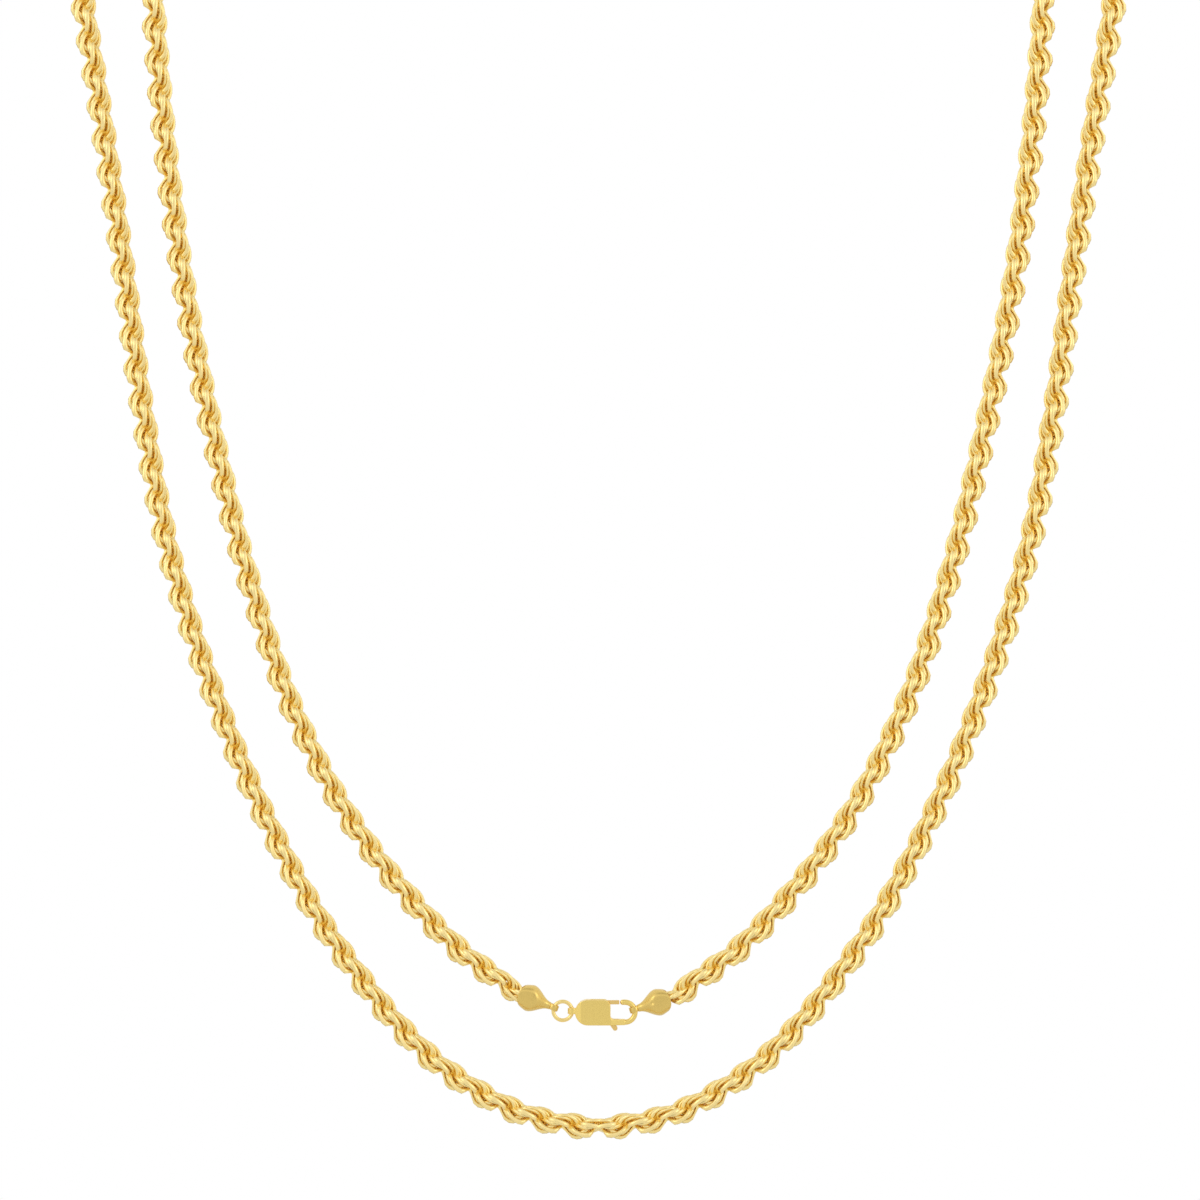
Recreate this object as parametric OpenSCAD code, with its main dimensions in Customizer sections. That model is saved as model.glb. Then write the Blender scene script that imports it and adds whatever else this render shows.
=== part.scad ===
// Gold rope chain necklace, hung doubled over two round pins, with its clasp closed.
// Millimetres. X runs to the right, Y into the picture, Z up.
// The origin is midway between the two pins, at the level where the chain rests on them.

/* [Chain] */
// Width over the twisted links
chain_d = 3.0; // [2.7:0.1:3.2]
// Width of the chain's filed end, inside an end cap
chain_end_d = 2.1; // [1.6:0.1:2.2]

/* [End caps] */
// Widest part of a cap
cap_d = 3.06; // [2.8:0.02:3.2]
// Width at the mouth that takes the chain
cap_mouth_d = 2.6; // [2.56:0.02:2.7]
// Bore of the pocket for the chain's end
cap_pocket_d = 2.3; // [2.26:0.02:2.4]
// Distance between the flats on the front and the back
cap_flats = 2.54; // [2.5:0.02:2.8]
// Width of the neck before the eye
cap_neck_d = 0.84; // [0.7:0.02:0.9]
// Bore of the eye
cap_eye_bore = 0.8; // [0.78:0.01:0.82]
// Wall of the eye
cap_eye_wall = 0.18; // [0.12:0.01:0.2]

/* [Jump ring] */
// Diameter along the middle of the wire
ring_d = 2.12; // [2.1:0.01:2.14]
// Wire of the ring
ring_wire = 0.44; // [0.36:0.02:0.44]

/* [Clasp] */
// Height of the case, and of the hook outside
clasp_h = 2.88; // [2.84:0.01:2.9]
// Depth of the case, front to back
clasp_depth = 1.5; // [1.4:0.05:1.7]
// Thickness of the hook's bar
hook_bar = 0.62; // [0.5:0.02:0.64]
// Slot in which the lever swings
slot_w = 0.56; // [0.54:0.01:0.6]
// Thickness of the lever
lever_t = 0.46; // [0.36:0.02:0.46]
// Pin across the case
pin_d = 0.32; // [0.28:0.01:0.34]
// Running clearance round the pin
pin_gap = 0.04; // [0.02:0.01:0.06]

/* [Hidden] */
gold = [0.90, 0.72, 0.34];
cap_gold = [0.87, 0.74, 0.42];
dark_gold = [0.76, 0.62, 0.30];
$fn = 48;
eps = 0.01;

// Half of the hanging route, as [x, z]: from the lowest point of the outer arc up to the
// pin, over it, and down the inner arc.
half_route = [
  [0, -134.6], [8.3, -133.2], [16, -129.1], [29, -115], [38, -99], [44.5, -83],
  [49, -68], [51.7, -53], [54, -36], [56.2, -21], [58.4, -7],
  [59, -2.7], [58.2, -0.2], [56.1, 1.3], [53.5, 1.3], [51.4, -0.2], [50.6, -2.7],
  [50.4, -7], [49.2, -22], [47, -39], [43.5, -57], [39.5, -73], [34.1, -88.5],
  [28.5, -99.2], [22, -108], [14.4, -115.7]
];
// The last points on each side, into the end caps
left_end = [[10.7, -118.3], [9.2, -119.4], [8, -119.87]];
right_end = [[11, -118.1], [8.3, -119.98], [7.1, -120.35]];

// The whole route, from the left cap round to the right cap
left_half = [for (p = concat(half_route, left_end)) [-p.x, p.y]];
route = concat([for (i = [len(left_half) - 1 : -1 : 1]) left_half[i]], half_route, right_end);
last_knot = len(route) - 1;

// The tube's sides, and the most that lies between two rings, as a length and as a turn
tube_sides = 8;
ring_step = 13;
ring_turn = 13;

// Clasp places, from the centre of the hook's round end
hook_r = (clasp_h - hook_bar) / 2;
hook_at = [3, -121.58];
hook_tip_x = -0.57;
case_nose_x = -4.21;
case_right_x = -1.64;
case_corner_r = 0.8;
case_fillet_r = 0.4;
slot_left_x = -3.9;
slot_right_x = -0.7;
pivot = [-2.66, 0.985];
lever_boss_r = 0.42;
gate_h = 0.46;
gate_end_x = -0.645;
arm_w = 0.46;
arm_foot = [-1.5, -1.25];
tab_w = 0.56;
tab_tip = [-1.12, -1.8];
clasp_eye = [-5.99, 0.15];
clasp_eye_bore = 0.66;
clasp_eye_wall = 0.17;

// Cap places: distance from the widest part to the mouth and to the eye
cap_mouth_z = -1.42;
cap_pocket_depth = 1.32;
cap_taper_z = 2.4;
cap_eye_z = 2.85;
eye_h = 0.66;
left_cap_at = [-7.75, -119.97];
right_cap_at = [6.79, -120.44];

// Jump ring: through the left cap's eye and the clasp's eye
ring_at = [-4.05, -121.43];

// Direction from one point to the next, and the length between them
function chord(i) = norm(route[i + 1] - route[i]);
function chord_dir(i) = (route[i + 1] - route[i]) / chord(i);

// Direction at a point: its two chords' directions, the shorter chord's counting for more
function knot_dir(i) =
  i == 0 ? chord_dir(0) :
  i == last_knot ? chord_dir(last_knot - 1) :
  (chord_dir(i - 1) * chord(i) + chord_dir(i) * chord(i - 1)) / (chord(i - 1) + chord(i));

// Cubic curve from point i to point i + 1, at u from 0 to 1
function route_point(i, u) =
  (2 * pow(u, 3) - 3 * pow(u, 2) + 1) * route[i]
  + (pow(u, 3) - 2 * pow(u, 2) + u) * chord(i) * knot_dir(i)
  + (3 * pow(u, 2) - 2 * pow(u, 3)) * route[i + 1]
  + (pow(u, 3) - pow(u, 2)) * chord(i) * knot_dir(i + 1);

// Its direction there, as a unit vector
function route_dir(i, u) =
  let (d = (6 * pow(u, 2) - 6 * u) * (route[i] - route[i + 1])
    + (3 * pow(u, 2) - 4 * u + 1) * chord(i) * knot_dir(i)
    + (3 * pow(u, 2) - 2 * u) * chord(i) * knot_dir(i + 1))
  d / norm(d);

// Rings from point i to point i + 1
function ring_count(i) =
  let (turn = acos(min(1, knot_dir(i) * knot_dir(i + 1))))
  max(1, round(chord(i) / ring_step), round(turn / ring_turn));

// Radius at a point: full, but filed down at the first and last three
function knot_r(i) =
  let (from_end = min(i, last_knot - i))
  from_end < 2 ? chain_end_d / 2 :
  from_end == 2 ? 0.3 * chain_end_d / 2 + 0.7 * chain_d / 2 :
  chain_d / 2;

// One ring of the tube, round the route at point i, u
function tube_ring(i, u) =
  let (
    c = route_point(i, u),
    d = route_dir(i, u),
    r = knot_r(i) * (1 - u) + knot_r(i + 1) * u
  )
  [for (k = [0 : tube_sides - 1])
    let (a = 360 * k / tube_sides)
    [c.x - r * cos(a) * d.y, r * sin(a), c.y + r * cos(a) * d.x]];

// The whole chain as one tube along its route
module rope_chain() {
  rings = concat(
    [for (i = [0 : last_knot - 1])
      for (k = [0 : ring_count(i) - 1]) tube_ring(i, k / ring_count(i))],
    [tube_ring(last_knot - 1, 1)]
  );
  count = len(rings);
  sides = [for (j = [0 : count - 2]) for (k = [0 : tube_sides - 1])
    let (k2 = (k + 1) % tube_sides)
    [j * tube_sides + k, j * tube_sides + k2, (j + 1) * tube_sides + k2, (j + 1) * tube_sides + k]];
  start = [for (k = [tube_sides - 1 : -1 : 0]) k];
  finish = [for (k = [0 : tube_sides - 1]) (count - 1) * tube_sides + k];
  color(gold)
    polyhedron(points = [for (ring = rings) each ring], faces = concat(sides, [start], [finish]));
}

// Half outline of a cap: a slightly barrelled cup below, a long concave taper above
function cap_r(z) =
  z < 0 ? cap_d / 2 - (cap_d - cap_mouth_d) / 2 * pow(z / cap_mouth_z, 2) :
  cap_neck_d / 2 + (cap_d - cap_neck_d) / 2 * (1 + cos(180 * z / cap_taper_z)) / 2;

// End cap with its axis along Z, its mouth down and its eye up
module end_cap() {
  steps = 9;
  outline = [
    for (k = [0 : 4]) let (z = cap_mouth_z * (1 - k / 4)) [cap_r(z), z],
    for (k = [1 : steps]) let (z = cap_taper_z * k / steps) [cap_r(z), z]
  ];
  difference() {
    union() {
      intersection() {
        rotate_extrude() polygon(concat([[0, cap_mouth_z]], outline, [[0, cap_taper_z]]));
        translate([-cap_d, -cap_flats / 2, cap_mouth_z - 1]) cube([2 * cap_d, cap_flats, 6]);
      }
      translate([0, 0, cap_eye_z]) rotate([0, 90, 0])
        cylinder(h = eye_h, r = cap_eye_bore / 2 + cap_eye_wall, center = true);
    }
    translate([0, 0, cap_eye_z]) rotate([0, 90, 0])
      cylinder(h = 3 * eye_h, r = cap_eye_bore / 2, center = true);
    translate([0, 0, cap_mouth_z - 1]) cylinder(h = cap_pocket_depth + 1, r = cap_pocket_d / 2);
  }
}

// A cap at its place, its eye towards a given point
module cap_towards(at, target) {
  color(cap_gold)
    translate([at.x, 0, at.y])
    rotate([0, atan2(target.x - at.x, target.y - at.y), 0])
    end_cap();
}

module end_cap_left() {
  cap_towards(left_cap_at, ring_at);
}

module end_cap_right() {
  cap_towards(right_cap_at, hook_at);
}

// Plain round ring of wire, in the plane of the picture
module jump_ring() {
  color(gold)
    translate([ring_at.x, 0, ring_at.y])
    rotate([90, 0, 0])
    rotate_extrude() translate([ring_d / 2, 0]) circle(d = ring_wire, $fn = 24);
}

// Stands a flat outline up in the picture's plane, with the given depth
module upright(depth) {
  rotate([90, 0, 0]) linear_extrude(height = depth, center = true) children();
}

// Outline of the case: round nose, rounded corner over the gate, fillet into the hook's root
module case_outline() {
  h = clasp_h / 2;
  root_top = -h + hook_bar + 0.04;
  translate([case_nose_x, 0]) circle(r = h);
  translate([case_nose_x, -h])
    square([case_right_x - case_corner_r - case_nose_x, 2 * h]);
  translate([case_nose_x, -h])
    square([case_right_x - case_nose_x, 2 * h - case_corner_r]);
  translate([case_right_x - case_corner_r, h - case_corner_r]) circle(r = case_corner_r);
  translate([case_right_x - eps, root_top - eps]) difference() {
    square(case_fillet_r);
    translate([case_fillet_r, case_fillet_r]) circle(r = case_fillet_r);
  }
  translate([case_right_x - eps, -h]) square([-case_right_x, root_top + h]);
}

// Plan of the case from above: it narrows at the nose and along the hook's root
module case_plan() {
  d = clasp_depth / 2;
  polygon([[case_nose_x - clasp_h / 2, -0.55 * d], [case_nose_x - 0.8, -d], [case_right_x, -d],
    [0, -0.33], [0, 0.33], [case_right_x, d], [case_nose_x - 0.8, d],
    [case_nose_x - clasp_h / 2, 0.55 * d]]);
}

// Round bar of the hook: along the bottom, round the end and back to the tip
module hook() {
  r = hook_bar / 2;
  translate([slot_right_x, 0, -hook_r]) rotate([0, 90, 0]) cylinder(h = -slot_right_x, r = r);
  rotate([90, 0, 0]) rotate_extrude(angle = 180, start = -90)
    translate([hook_r, 0]) circle(r = r, $fn = 24);
  translate([hook_tip_x + r, 0, hook_r]) rotate([0, 90, 0]) cylinder(h = -hook_tip_x - r, r = r);
  translate([hook_tip_x + r, 0, hook_r]) sphere(r = r);
}

// Case, hook, eye and cross pin, cast and soldered into one piece
module clasp_body() {
  color(cap_gold) translate([hook_at.x, 0, hook_at.y]) {
    difference() {
      union() {
        intersection() {
          upright(clasp_depth) case_outline();
          translate([0, 0, -2]) linear_extrude(height = 4) case_plan();
        }
        hook();
        translate([clasp_eye.x, 0, clasp_eye.y])
          cylinder(h = eye_h, r = clasp_eye_bore / 2 + clasp_eye_wall, center = true);
      }
      translate([clasp_eye.x, 0, clasp_eye.y])
        cylinder(h = clasp_h, r = clasp_eye_bore / 2, center = true);
      translate([slot_left_x, -slot_w / 2, -2]) cube([slot_right_x - slot_left_x, slot_w, 4]);
    }
    translate([pivot.x, 0, pivot.y]) rotate([90, 0, 0])
      cylinder(h = slot_w + 0.4, d = pin_d, center = true);
  }
}

// A straight flat bar between two points, with square ends
module flat_bar(from, to, w) {
  d = (to - from) / norm(to - from);
  n = [-d.y, d.x] * w / 2;
  polygon([from + n, from - n, to - n, to + n]);
}

// Outline of the lever: boss, gate to the right, arm down to the foot, thumb tab
module lever_outline() {
  translate(pivot) circle(r = lever_boss_r);
  translate([pivot.x, hook_r - gate_h / 2]) square([gate_end_x - pivot.x, gate_h]);
  flat_bar(pivot, arm_foot, arm_w);
  translate(arm_foot) circle(r = tab_w / 2);
  flat_bar(arm_foot, tab_tip, tab_w);
  translate(tab_tip) circle(r = tab_w / 2);
}

// Lever: it turns on the cross pin, gate down into the hook and tab towards the eye
module clasp_lever() {
  color(dark_gold) translate([hook_at.x, 0, hook_at.y]) difference() {
    upright(lever_t) lever_outline();
    translate([pivot.x, 0, pivot.y]) rotate([90, 0, 0])
      cylinder(h = 2, r = pin_d / 2 + pin_gap, center = true);
  }
}

rope_chain();
end_cap_left();
end_cap_right();
jump_ring();
clasp_body();
clasp_lever();
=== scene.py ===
import bpy
import numpy as np
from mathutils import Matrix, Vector


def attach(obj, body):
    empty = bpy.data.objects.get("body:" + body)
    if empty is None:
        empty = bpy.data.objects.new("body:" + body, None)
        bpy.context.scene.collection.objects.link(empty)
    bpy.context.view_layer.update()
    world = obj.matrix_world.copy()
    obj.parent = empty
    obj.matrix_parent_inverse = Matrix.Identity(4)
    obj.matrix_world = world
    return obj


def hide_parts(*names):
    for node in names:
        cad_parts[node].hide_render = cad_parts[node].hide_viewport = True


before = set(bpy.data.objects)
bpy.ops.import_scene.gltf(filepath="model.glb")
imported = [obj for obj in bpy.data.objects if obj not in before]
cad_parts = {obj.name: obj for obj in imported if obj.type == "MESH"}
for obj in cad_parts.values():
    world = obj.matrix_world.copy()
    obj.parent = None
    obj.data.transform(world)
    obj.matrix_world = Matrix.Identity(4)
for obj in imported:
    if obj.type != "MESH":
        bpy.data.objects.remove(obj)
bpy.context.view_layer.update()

scene = bpy.context.scene
MM = 0.001

# ROPE CHAIN
# Round rings of yellow gold wire, linked through one another. Each stands half a turn and
# a little more round from the last, so that two strands twist together, and both ends are
# filed down to go into the caps.

CHAIN_WIDTH = 3.0 * MM
FULL_TWIST = 7.5 * MM  # length of chain in which a strand goes once round
RINGS_ROUND = 7  # rings of one strand in that length
RING_MEAN = 0.410 * CHAIN_WIDTH  # radius along the middle of the wire
RING_WIRE = 0.225 * CHAIN_WIDTH  # thickness of the wire
RING_OUT = 0.080 * CHAIN_WIDTH  # from the chain's middle to the ring's
RING_TILT = np.radians(85)  # of the ring's axis, from the chain's
RING_SKEW = np.radians(40)  # turns the rings' open side towards one edge of the chain
NECK_OUTER = 0.56  # what is left of the half width at a notch in the necklace's outer edge
NECK_INNER = 0.92  # the same at its inner edge
NECK_DEEP = 0.78  # the same, front and back
NOTCH_POWER = 10  # higher for narrower notches
NOTCH_TURN = np.radians(-8)  # how far round the notches are moved
PRESSED_FROM = 0.30 * CHAIN_WIDTH  # past this the edges are pressed in
OUTER_REACH = 0.51 * CHAIN_WIDTH  # the most that the outer edge, pressed, goes out
INNER_REACH = 0.49 * CHAIN_WIDTH
BULGE_BIAS = 0.050 * CHAIN_WIDTH  # everything is moved this much to the inner side
BULGE_SLANT = 0.35  # how much further down the bulges hang for each unit outwards
TURN_BLEND = 9 * MM  # over this length at the pins the outer edge becomes the inner
FIRST_RING = np.radians(90)  # how far round the ring at the bottom of the necklace stands
CUT_DEPTH = 1.40 * MM  # the front and back are cut flat this far from the middle
FILED_WIDTH = 2.16 * MM  # at the two ends, inside the caps
FILED_FROM = 3.4 * MM  # from the end
FILED_TO = 1.35 * MM
RING_SIDES = 16
WIRE_SIDES = 6

# Half of the hanging route, from the bottom of the outer arc over the pin and down inside
half_route = [
    (0, -134.6), (8.3, -133.2), (16, -129.1), (29, -115), (38, -99), (44.5, -83),
    (49, -68), (51.7, -53), (54, -36), (56.2, -21), (58.4, -7),
    (59, -2.7), (58.2, -0.2), (56.1, 1.3), (53.5, 1.3), (51.4, -0.2), (50.6, -2.7),
    (50.4, -7), (49.2, -22), (47, -39), (43.5, -57), (39.5, -73), (34.1, -88.5),
    (28.5, -99.2), (22, -108), (14.4, -115.7),
]
left_end = [(10.7, -118.3), (9.2, -119.4), (8, -119.87)]
right_end = [(11, -118.1), (8.3, -119.98), (7.1, -120.35)]


def hanging_points(knots, spacing):
    """Evenly spaced points along the smooth route through the knots, from the first, which
    is at its bottom, with the unit direction at each and how far along it is. Between two
    knots the route is the cubic with a direction at each: that of the two chords that meet
    there, the shorter counting for more. It is level at the bottom."""
    chord = np.diff(knots, axis=0)
    length = np.linalg.norm(chord, axis=1, keepdims=True)
    chord_dir = chord / length
    inner = chord_dir[:-1] * length[1:] + chord_dir[1:] * length[:-1]
    inner /= length[1:] + length[:-1]
    level = chord_dir[:1] * (1, 0)
    knot_dir = np.concatenate([level, inner, chord_dir[-1:]])
    u = np.linspace(0, 1, 100, endpoint=False)[None, :, None]
    start, end = knots[:-1, None], knots[1:, None]
    leave = (length * knot_dir[:-1])[:, None]
    arrive = (length * knot_dir[1:])[:, None]
    fine = (
        (2 * u**3 - 3 * u**2 + 1) * start + (u**3 - 2 * u**2 + u) * leave
        + (3 * u**2 - 2 * u**3) * end + (u**3 - u**2) * arrive
    ).reshape(-1, 2)
    fine = np.concatenate([fine, knots[-1:]])
    step = np.linalg.norm(np.diff(fine, axis=0), axis=1)
    fine_along = np.concatenate([[0], np.cumsum(step)])
    along = np.arange(0.5 * spacing, fine_along[-1], spacing)
    points = np.stack([np.interp(along, fine_along, fine[:, i]) for i in (0, 1)], 1)
    middle = (fine_along[:-1] + fine_along[1:]) / 2
    direction = np.diff(fine, axis=0) / step[:, None]
    direction = np.stack([np.interp(along, middle, direction[:, i]) for i in (0, 1)], 1)
    direction /= np.linalg.norm(direction, axis=1, keepdims=True)
    return points, direction, along, fine_along[-1]


def grid_faces(rows, columns, close_rows=False, close_columns=False):
    """Four-sided faces of a grid of points, row by row, wrapped where it closes."""
    i = np.arange(rows if close_rows else rows - 1)[:, None]
    j = np.arange(columns if close_columns else columns - 1)[None, :]
    i2, j2 = (i + 1) % rows, (j + 1) % columns
    corners = [i * columns + j, i2 * columns + j, i2 * columns + j2, i * columns + j2]
    return np.stack(np.broadcast_arrays(*corners), -1).reshape(-1, 4)


def add_piece(name, points, faces, body, stands_for, material):
    """Smooth mesh object of the given points and faces, riding on its body."""
    mesh = bpy.data.meshes.new(name)
    mesh.from_pydata(np.asarray(points).tolist(), [], [list(f) for f in faces])
    mesh.update()
    mesh.polygons.foreach_set("use_smooth", np.ones(len(mesh.polygons), bool))
    mesh.materials.append(material)
    piece = bpy.data.objects.new(name, mesh)
    scene.collection.objects.link(piece)
    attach(piece, body)
    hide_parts(*stands_for)
    return piece


class Wire:
    """An output socket on which Python's operators add Math nodes."""

    def __init__(self, nodes, socket):
        self.nodes = nodes
        self.socket = socket

    def _math(self, operation, first, second):
        return self.nodes.add("ShaderNodeMath", {"operation": operation}, {0: first, 1: second})

    def __add__(self, other):
        return self._math("ADD", self, other)

    def __sub__(self, other):
        return self._math("SUBTRACT", self, other)

    def __rsub__(self, other):
        return self._math("SUBTRACT", other, self)

    def __mul__(self, other):
        return self._math("MULTIPLY", self, other)

    __radd__ = __add__
    __rmul__ = __mul__


class Nodes:
    """The nodes of one material or world."""

    def __init__(self, tree):
        self.tree = tree

    def add(self, kind, settings=None, values=None, output=0):
        """Adds a node: its settings first, then the values or links of its sockets."""
        node = self.tree.nodes.new(kind)
        for key, value in (settings or {}).items():
            setattr(node, key, value)
        for key, value in (values or {}).items():
            if isinstance(value, Wire):
                self.tree.links.new(value.socket, node.inputs[key])
            else:
                node.inputs[key].default_value = value
        return Wire(self, node.outputs[output]) if node.outputs else node

    def step(self, value, low, high):
        """0 below low, 1 above high, smooth between."""
        return self.add(
            "ShaderNodeMapRange", {"interpolation_type": "SMOOTHSTEP"},
            {0: value, 1: low, 2: high},
        )

    def mix(self, factor, first, second):
        """Mixes two colours."""
        colors = {0: factor, 6: first, 7: second}
        return self.add("ShaderNodeMix", {"data_type": "RGBA"}, colors, 2)


def polished_gold(name, color, tone_and_shade_color, roughness, grain, scratches, relief, shade_attribute=None):
    """Solid gold: its colour wanders a little, the polish is a little uneven, and fine
    polishing marks run over it. An attribute may be named that is 0 deep between the strands
    and 1 on the surface: where it is low the colour goes over to the deeper one, painted shade
    between the strands."""
    material = bpy.data.materials.new(name)
    material.use_nodes = True
    material.node_tree.nodes.clear()
    n = Nodes(material.node_tree)
    place = n.add("ShaderNodeTexCoord", output=3)
    cloud = n.add(
        "ShaderNodeTexNoise", None,
        {"Vector": place, "Scale": grain, "Detail": 3.0, "Roughness": 0.6},
    )
    marks_at = n.add(
        "ShaderNodeMapping", None,
        {"Vector": place, "Rotation": (0.3, 0.6, 0.2), "Scale": (1.0, 1.0, 0.12)},
    )
    marks = n.add(
        "ShaderNodeTexNoise", None,
        {"Vector": marks_at, "Scale": scratches, "Detail": 4.0, "Roughness": 0.7},
    )
    tone_and_shade = n.step(cloud, 0.35, 0.68) * 0.35
    # painted shade: between the strands, where the attribute is low, the colour goes over to the
    # deeper one
    if shade_attribute:
        depth = n.add("ShaderNodeAttribute", {"attribute_name": shade_attribute}, None, 2)
        low = 1 - n.step(depth, 0.35, 0.85)
        tone_and_shade = tone_and_shade + low * 0.65
    base = n.mix(tone_and_shade, (*color, 1), (*tone_and_shade_color, 1))
    rough = roughness * (0.75 + 0.5 * n.step(marks, 0.3, 0.7))
    bump = n.add(
        "ShaderNodeBump", None,
        {"Strength": 0.3, "Distance": relief, "Height": marks * 0.7 + cloud * 0.3},
    )
    shader = n.add(
        "ShaderNodeBsdfPrincipled", None,
        {"Base Color": base, "Metallic": 1.0, "Roughness": rough, "Normal": bump},
    )
    n.add("ShaderNodeOutputMaterial", None, {"Surface": shader})
    return material


# The chain's deeper, more orange colour is painted shade between the strands, led by the depth
# attribute.
chain_gold = polished_gold(
    "chain_gold", (0.99, 0.79, 0.35), (1.0, 0.78, 0.29), 0.32, 500.0, 5000.0, 0.0002 * MM,
    "depth",
)


def linked_rings(knots):
    """Points of all rings of one half of the chain, on its right side, with how far out of
    the chain each lies, from 0 in its middle to 1 at its surface. A ring is a circle of the
    wire carried round a circle. Its middle is a little off the chain's, half a turn and a
    little more round from the last ring's, and its plane is tilted and skewed from the
    chain's own. The strands are then drawn in to a notch between bulges by a high power of
    the sine of how far round they are, both edges are pressed in, the bulges are slanted,
    the front and back are cut flat and the end is filed down. Last, every point is put on
    the route, along and across it."""
    spacing = FULL_TWIST / (2 * RINGS_ROUND)
    centres, forward, along, total = hanging_points(knots, spacing)
    top = along[np.argmax(centres[:, 1])]
    outer = np.clip((top - along) / TURN_BLEND, -1, 1)
    around = FIRST_RING + np.arange(len(along)) * (np.pi + np.pi / RINGS_ROUND)
    lean = RING_SKEW * outer
    out = np.stack([np.cos(around), np.sin(around), 0 * around], 1)
    side = np.stack([-np.sin(around), np.cos(around), 0 * around], 1)
    facing = np.cos(RING_TILT) * np.array([0.0, 0.0, 1.0]) + np.sin(RING_TILT) * (
        np.cos(lean)[:, None] * side + np.sin(lean)[:, None] * out
    )
    first = out - (out * facing).sum(1, keepdims=True) * facing
    first /= np.linalg.norm(first, axis=1, keepdims=True)
    second = np.cross(facing, first)

    u = np.linspace(0, 2 * np.pi, RING_SIDES, endpoint=False)[None, :, None, None]
    v = (np.arange(WIRE_SIDES) + 0.5)[None, None, :, None] * 2 * np.pi / WIRE_SIDES
    spoke = first[:, None, None] * np.cos(u) + second[:, None, None] * np.sin(u)
    x, y, z = np.moveaxis(
        RING_OUT * out[:, None, None]
        + spoke * (RING_MEAN + RING_WIRE / 2 * np.cos(v))
        + facing[:, None, None] * RING_WIRE / 2 * np.sin(v), -1, 0,
    )
    depth = np.hypot(x, y) / (CHAIN_WIDTH / 2)

    outer = outer[:, None, None]
    height = z + along[:, None, None] - along[0]
    strand = FIRST_RING + 2 * np.pi * height / FULL_TWIST + NOTCH_TURN * outer
    outward = x * np.where(outer < 0, -1, 1)
    neck = np.where(outward > 0, NECK_OUTER, NECK_INNER)
    outward = outward * (1 - (1 - neck) * np.sin(strand) ** NOTCH_POWER) - BULGE_BIAS
    y = y * (1 - (1 - NECK_DEEP) * np.cos(strand) ** NOTCH_POWER)
    pressed = outward
    for edge, reach in ((1, OUTER_REACH), (-1, INNER_REACH)):
        past = np.maximum(edge * outward - PRESSED_FROM, 0)
        press = (reach - PRESSED_FROM) / past.max()
        pressed = pressed - edge * past * (1 - press)
    x = x + np.abs(outer) * (pressed * np.where(outer < 0, -1, 1) - x)
    z = z - BULGE_SLANT * x
    y = np.clip(y, -CUT_DEPTH, CUT_DEPTH)

    filed = np.interp(total - along, [FILED_TO, FILED_FROM], [FILED_WIDTH / CHAIN_WIDTH, 1])
    x, y = x * filed[:, None, None], y * filed[:, None, None]
    ahead_x, ahead_z = forward[:, 0, None, None], forward[:, 1, None, None]
    at_x = centres[:, 0, None, None] + x * ahead_z + z * ahead_x
    at_z = centres[:, 1, None, None] - x * ahead_x + z * ahead_z
    return np.stack([at_x, y, at_z], -1), depth


one_ring = grid_faces(RING_SIDES, WIRE_SIDES, True, True)
for name, end, across in (("rope_links_right", right_end, 1), ("rope_links_left", left_end, -1)):
    points, depth = linked_rings(np.array(half_route + end) * MM)
    first_point = np.arange(len(points)) * RING_SIDES * WIRE_SIDES
    faces = (one_ring[None] + first_point[:, None, None]).reshape(-1, 4)[:, ::across]
    links = add_piece(
        name, points.reshape(-1, 3) * (across, 1, 1), faces, "necklace", ["rope_chain"],
        chain_gold,
    )
    # depth leads the painted shade between the strands in chain_gold.
    links.data.attributes.new("depth", "FLOAT", "POINT")
    links.data.attributes["depth"].data.foreach_set("value", depth.ravel().astype(np.float32))

# END CAPS
# Two teardrop cups of cast gold with flats on the front and back, soldered over the filed
# ends of the chain. Each runs out into a neck with a small flat loop across it.

CAP_RADIUS = 1.53 * MM
CAP_MOUTH = 1.30 * MM
CAP_POCKET = 1.15 * MM
CAP_FLAT = 1.27 * MM  # from the middle to either flat
CAP_NECK = 0.42 * MM
CAP_MOUTH_AT = -1.42 * MM
CAP_FLOOR_AT = -0.10 * MM
CAP_TAPER_AT = 2.40 * MM
CAP_LOOP_AT = 2.85 * MM
CAP_LIP = 0.07 * MM
CAP_TIP = 0.1 * MM  # how far the neck's round end goes past the taper
CAP_SOFTNESS = 14  # higher for a sharper edge round the flats
CAP_ROUNDING = 1.57 * MM  # radius of the mouth's round outline
CAP_SIDES = 72
POLE = 0.001 * MM  # radius of the small face that closes a revolved shape
DIMPLE_DEPTH = 0.16 * MM
DIMPLE_RADIUS = 0.13 * MM
LOOP_BORE = 0.40 * MM
LOOP_WALL = 0.18 * MM
LOOP_HEIGHT = 0.66 * MM
left_cap_at = np.array([-7.75, -119.97]) * MM
right_cap_at = np.array([6.79, -120.44]) * MM
ring_at = np.array([-4.05, -121.43]) * MM
hook_at = np.array([3.0, -121.58]) * MM

cap_gold = polished_gold(
    "cap_gold", (0.79, 0.57, 0.17), (0.75, 0.53, 0.15), 0.30, 350.0, 3000.0, 0.0004 * MM,
)


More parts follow.
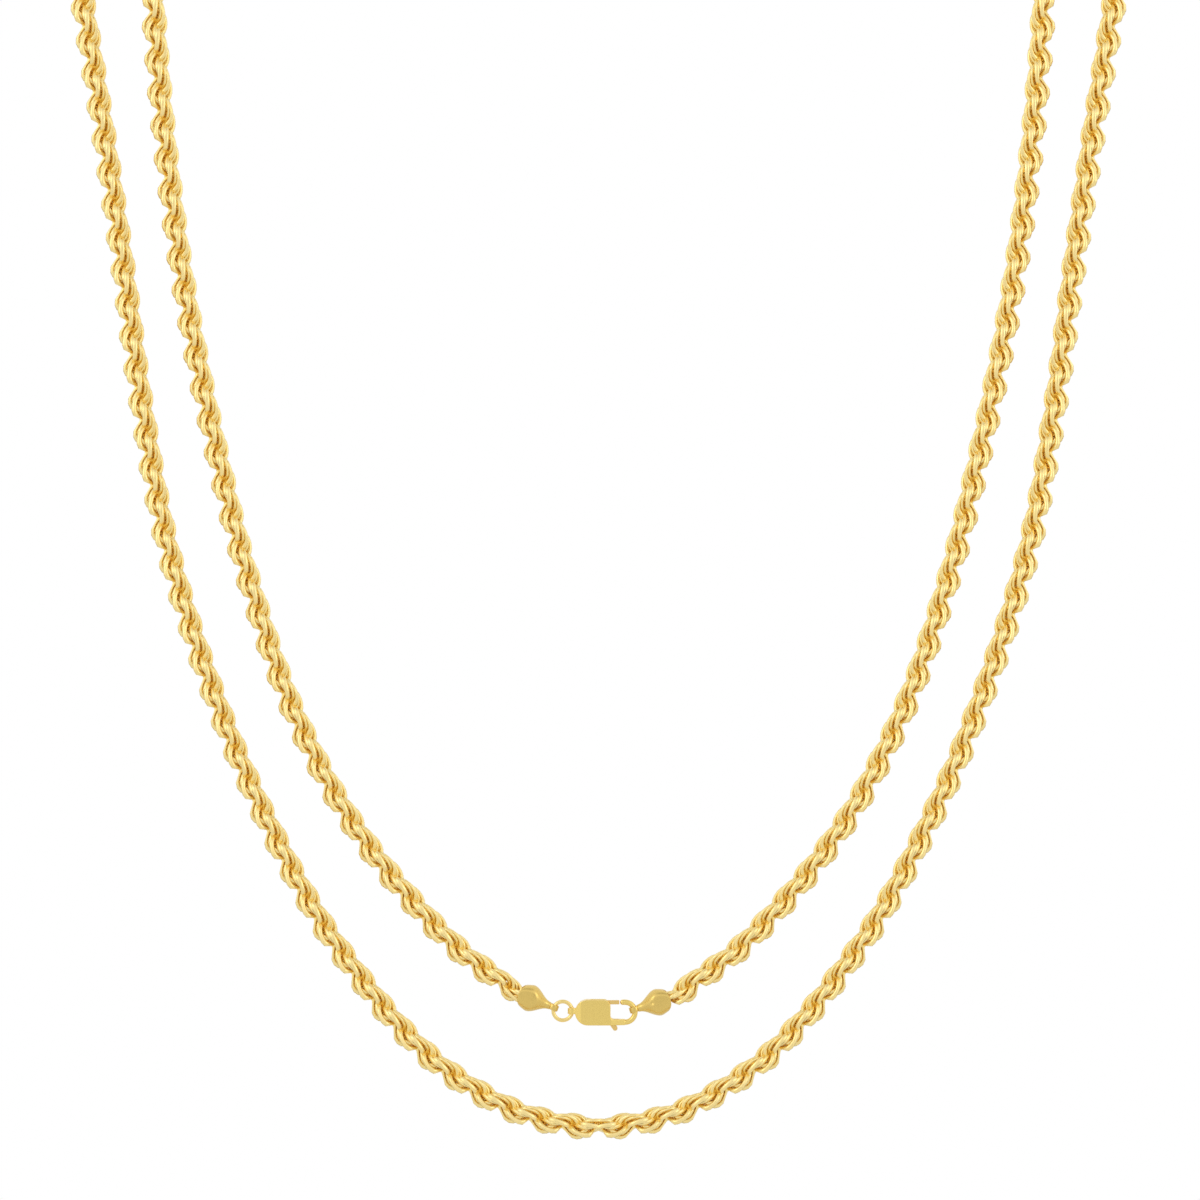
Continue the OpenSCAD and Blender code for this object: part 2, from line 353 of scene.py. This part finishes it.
def cap_points(dimple_at=None):
    """Cup with its axis up: a profile turned once round, the front and back pressed flat.
    From the pocket's floor the profile goes down the pocket's wall, round the lip, up the
    slightly barrelled outside and along a cosine taper to the neck's round end. The mouth's
    side is drawn in to a round outline, like a disc's, and a dimple is pressed by a bell
    curve where one is asked for."""
    turn = np.linspace(0, np.pi, 9)[1:-1]
    barrel = np.linspace(CAP_MOUTH_AT + CAP_LIP, 0, 10)[1:]
    taper = np.linspace(0, CAP_TAPER_AT, 26)[1:]
    end = np.linspace(0, np.pi / 2, 6)[1:-1]
    lip_middle = CAP_MOUTH - CAP_LIP
    radius = np.concatenate([
        [POLE, CAP_POCKET * 0.5, CAP_POCKET, CAP_POCKET],
        lip_middle - CAP_LIP * np.cos(turn),
        CAP_RADIUS - (CAP_RADIUS - CAP_MOUTH) * (barrel / CAP_MOUTH_AT) ** 2,
        CAP_NECK + (CAP_RADIUS - CAP_NECK) * (1 + np.cos(np.pi * taper / CAP_TAPER_AT)) / 2,
        CAP_NECK * np.cos(end), [POLE],
    ])
    height = np.concatenate([
        [CAP_FLOOR_AT, CAP_FLOOR_AT, CAP_FLOOR_AT - 0.05 * MM, CAP_MOUTH_AT + CAP_LIP],
        CAP_MOUTH_AT + CAP_LIP - CAP_LIP * np.sin(turn),
        barrel, taper, CAP_TAPER_AT + CAP_TIP * np.sin(end), [CAP_TAPER_AT + CAP_TIP],
    ])
    angle = np.linspace(0, 2 * np.pi, CAP_SIDES, endpoint=False)
    x = radius[:, None] * np.cos(angle)
    y = radius[:, None] * np.sin(angle)
    pressed = y / (1 + np.abs(y / CAP_FLAT) ** CAP_SOFTNESS) ** (1 / CAP_SOFTNESS)
    outside = (np.arange(len(radius)) > 3 + len(turn))[:, None]
    y = np.where(outside, pressed, y)
    height = np.broadcast_to(height[:, None], x.shape)
    rounded = np.sqrt(np.clip(1 - (x / CAP_ROUNDING) ** 2, 0.04, 1))
    height = np.where(height < 0, height * rounded, height)
    points = np.stack([x, y, height], -1)
    if dimple_at is not None:
        off = (x - dimple_at[0]) ** 2 + (height - dimple_at[1]) ** 2
        dimple = DIMPLE_DEPTH * np.exp(-off / DIMPLE_RADIUS**2)
        points[..., 1] += np.where(outside & (y < 0), dimple, 0)
    return points


def loop_points(bore, wall, height, sides=40):
    """Flat loop round the X axis: a rounded oblong carried once round."""
    corner = 0.07 * MM
    angle = np.linspace(0, 2 * np.pi, 20, endpoint=False) + np.pi / 20
    r = bore + wall / 2 + np.sign(np.cos(angle)) * (wall / 2 - corner) + corner * np.cos(angle)
    x = np.sign(np.sin(angle)) * (height / 2 - corner) + corner * np.sin(angle)
    a = np.linspace(0, 2 * np.pi, sides, endpoint=False)[:, None]
    return np.stack([np.broadcast_to(x, (sides, 20)), r * np.cos(a), r * np.sin(a)], -1)


def aimed(points, at, target):
    """Turns points whose axis is up so that it runs in the picture's plane from one point
    towards another, and puts them there."""
    axis = (target - at) / np.linalg.norm(target - at)
    x = at[0] + points[..., 0] * axis[1] + points[..., 2] * axis[0]
    z = at[1] - points[..., 0] * axis[0] + points[..., 2] * axis[1]
    return np.stack([x, points[..., 1], z], -1)


def joined(grids):
    """Points and faces of several grids put into one mesh. A grid whose rows don't close
    into a ring gets a small face across its first row and its last."""
    points, faces, count = [], [], 0
    for grid, close_rows in grids:
        rows, columns = grid.shape[:2]
        points.append(grid.reshape(-1, 3))
        faces += (grid_faces(rows, columns, close_rows, True) + count).tolist()
        last = count + (rows - 1) * columns
        if not close_rows:
            faces.append(list(range(count, count + columns)))
            faces.append(list(range(last, last + columns))[::-1])
        count += rows * columns
    return np.concatenate(points), faces


loop = loop_points(LOOP_BORE, LOOP_WALL, LOOP_HEIGHT) + (0, 0, CAP_LOOP_AT)
caps = {
    "end_cap_left": (left_cap_at, ring_at, None),
    "end_cap_right": (right_cap_at, hook_at, (0.2 * MM, 0.69 * MM)),
}
for name, (at, target, dimple_at) in caps.items():
    grids = [(aimed(cap_points(dimple_at), at, target)[:, ::-1], False),
             (aimed(loop, at, target), True)]
    points, faces = joined(grids)
    add_piece(name + "_cup", points, faces, "necklace", [name], cap_gold)

# JUMP RING
# Round ring of drawn gold wire, its ends butted and soldered. It goes through the left
# cap's loop and the clasp's, and hangs free in both.

JUMP_RADIUS = 1.06 * MM
JUMP_WIRE = 0.44 * MM

ring_gold = polished_gold(
    "ring_gold", (0.95, 0.74, 0.29), (0.92, 0.66, 0.22), 0.24, 500.0, 3000.0, 0.0003 * MM,
)


def wire_ring(radius, wire, sides=64, wire_sides=20):
    """Torus in the picture's plane: a circle of the wire carried once round."""
    a = np.linspace(0, 2 * np.pi, sides, endpoint=False)[:, None]
    b = np.linspace(0, 2 * np.pi, wire_sides, endpoint=False)
    reach = radius + wire / 2 * np.cos(b)
    y = np.broadcast_to(wire / 2 * np.sin(b), (sides, wire_sides))
    return np.stack([reach * np.cos(a), y, reach * np.sin(a)], -1)


jump = wire_ring(JUMP_RADIUS, JUMP_WIRE)[:, ::-1] + (ring_at[0], 0, ring_at[1])
points, faces = joined([(jump, True)])
add_piece("jump_ring_wire", points, faces, "necklace", ["jump_ring"], ring_gold)

# CLASP CASE AND HOOK
# One gold casting: the case with its round nose and slot, the hook's round bar, the loop
# and the cross pin. Tumbling has rounded every edge.

clasp_gold = polished_gold(
    "clasp_gold", (0.90, 0.68, 0.21), (0.88, 0.64, 0.19), 0.28, 350.0, 3000.0, 0.0004 * MM,
)


def tumbled(name, node, body, material, voxel, rounds):
    """Copy of a cast CAD solid with its edges worn round: its surface is rebuilt on a fine
    even grid, then each point is drawn some rounds half way to its neighbours' middle."""
    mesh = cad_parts[node].data.copy()
    mesh.name = name
    mesh.materials.clear()
    piece = bpy.data.objects.new(name, mesh)
    scene.collection.objects.link(piece)
    weld = piece.modifiers.new("weld", "WELD")
    weld.merge_threshold = 0.001 * MM
    rebuild = piece.modifiers.new("rebuild", "REMESH")
    rebuild.mode = "VOXEL"
    rebuild.voxel_size = voxel
    smooth = piece.modifiers.new("smooth", "SMOOTH")
    smooth.factor = 0.5
    smooth.iterations = rounds
    evaluated = piece.evaluated_get(bpy.context.evaluated_depsgraph_get())
    done = bpy.data.meshes.new_from_object(evaluated)
    piece.modifiers.clear()
    piece.data = done
    done.name = name
    done.polygons.foreach_set("use_smooth", np.ones(len(done.polygons), bool))
    done.materials.clear()
    done.materials.append(material)
    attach(piece, body)
    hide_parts(node)


tumbled("clasp_case", "clasp_body", "necklace", clasp_gold, 0.04 * MM, 6)

# CLASP LEVER
# Flat stamped lever of the same gold, satin finished. It swings on the cross pin, and a
# small spring in the case holds its gate down on the hook's tip.

lever_gold = polished_gold(
    "lever_gold", (0.88, 0.64, 0.24), (0.80, 0.50, 0.16), 0.33, 500.0, 3000.0, 0.0006 * MM,
)
tumbled("clasp_lever_plate", "clasp_lever", "lever", lever_gold, 0.03 * MM, 5)

# FLOOR, LIGHT AND CAMERA
# The necklace hangs well above a plain pale floor, inside a white light tent with lighter
# sides and darker patches above and behind the camera. Two softboxes add the highlights.

FLOOR_AT = -0.22
FLOOR_RADIUS = 1.2
angle = np.linspace(0, 2 * np.pi, 96, endpoint=False)
rim = FLOOR_RADIUS * np.stack([np.cos(angle), np.sin(angle), 0 * angle], 1)
rim[:, 2] = FLOOR_AT
floor_mesh = bpy.data.meshes.new("floor")
floor_mesh.from_pydata(rim.tolist(), [], [list(range(len(rim)))])
floor = bpy.data.objects.new("floor", floor_mesh)
scene.collection.objects.link(floor)
pale = bpy.data.materials.new("pale_floor")
pale.use_nodes = True
pale.node_tree.nodes.clear()
n = Nodes(pale.node_tree)
lit = n.add("ShaderNodeBsdfDiffuse", None, {"Color": (0.85, 0.85, 0.84, 1)})
seen = n.add("ShaderNodeEmission", None, {"Color": (1, 1, 1, 1), "Strength": 1.0})
direct = n.add("ShaderNodeLightPath", output=0)
mixed = n.add("ShaderNodeMixShader", None, {0: direct, 1: lit, 2: seen})
n.add("ShaderNodeOutputMaterial", None, {"Surface": mixed})
floor_mesh.materials.append(pale)

world = bpy.data.worlds.new("light_tent")
scene.world = world
world.use_nodes = True
world.node_tree.nodes.clear()
n = Nodes(world.node_tree)
toward = n.add("ShaderNodeTexCoord", output=0)


def from_direction(direction, inner, outer):
    """1 within the inner angle of a direction, 0 past the outer, in degrees."""
    unit = Vector(direction).normalized()
    facing = n.add("ShaderNodeVectorMath", {"operation": "DOT_PRODUCT"}, {0: toward, 1: unit}, 1)
    return n.step(facing, float(np.cos(np.radians(outer))), float(np.cos(np.radians(inner))))


tent = (
    0.95
    + 0.10 * from_direction((-1, -0.6, -0.45), 25, 60)
    + 0.10 * from_direction((1, -0.5, 0.3), 20, 55)
    - 0.35 * from_direction((0.1, -0.25, 1), 8, 28)
    - 0.18 * from_direction((0, -1, 0), 12, 30)
    - 0.40 * from_direction((0.35, -1, 0.1), 3, 8)
)
light_path = n.add("ShaderNodeLightPath", output=0)
level = light_path + (1 - light_path) * tent
background = n.add("ShaderNodeBackground", None, {"Color": (1.0, 1.0, 1.0, 1), "Strength": level})
n.add("ShaderNodeOutputWorld", None, {"Surface": background})


def softbox(name, at, aim, size, watts):
    """Square lamp at one point, aimed at another."""
    lamp = bpy.data.lights.new(name, "AREA")
    lamp.size = size
    lamp.energy = watts
    holder = bpy.data.objects.new(name, lamp)
    scene.collection.objects.link(holder)
    holder.location = at
    holder.rotation_euler = (Vector(aim) - Vector(at)).to_track_quat("-Z", "Y").to_euler()


middle = (0, 0, -0.07)
softbox("softbox_left", (-0.55, -0.5, 0.25), middle, 0.35, 0.5)
softbox("softbox_right", (0.6, -0.45, 0.1), middle, 0.3, 0.3)

lens = bpy.data.cameras.new("camera")
lens.lens = 120
lens.sensor_width = 36
lens.clip_start = 0.01
camera = bpy.data.objects.new("camera", lens)
scene.collection.objects.link(camera)
camera.location = (0.00017, -0.4528, -0.07492)
camera.rotation_euler = (np.pi / 2, 0, 0)
scene.camera = camera
scene.view_settings.view_transform = "Standard"
scene.cycles.glossy_bounces = 12  # light is passed on many times between the rings
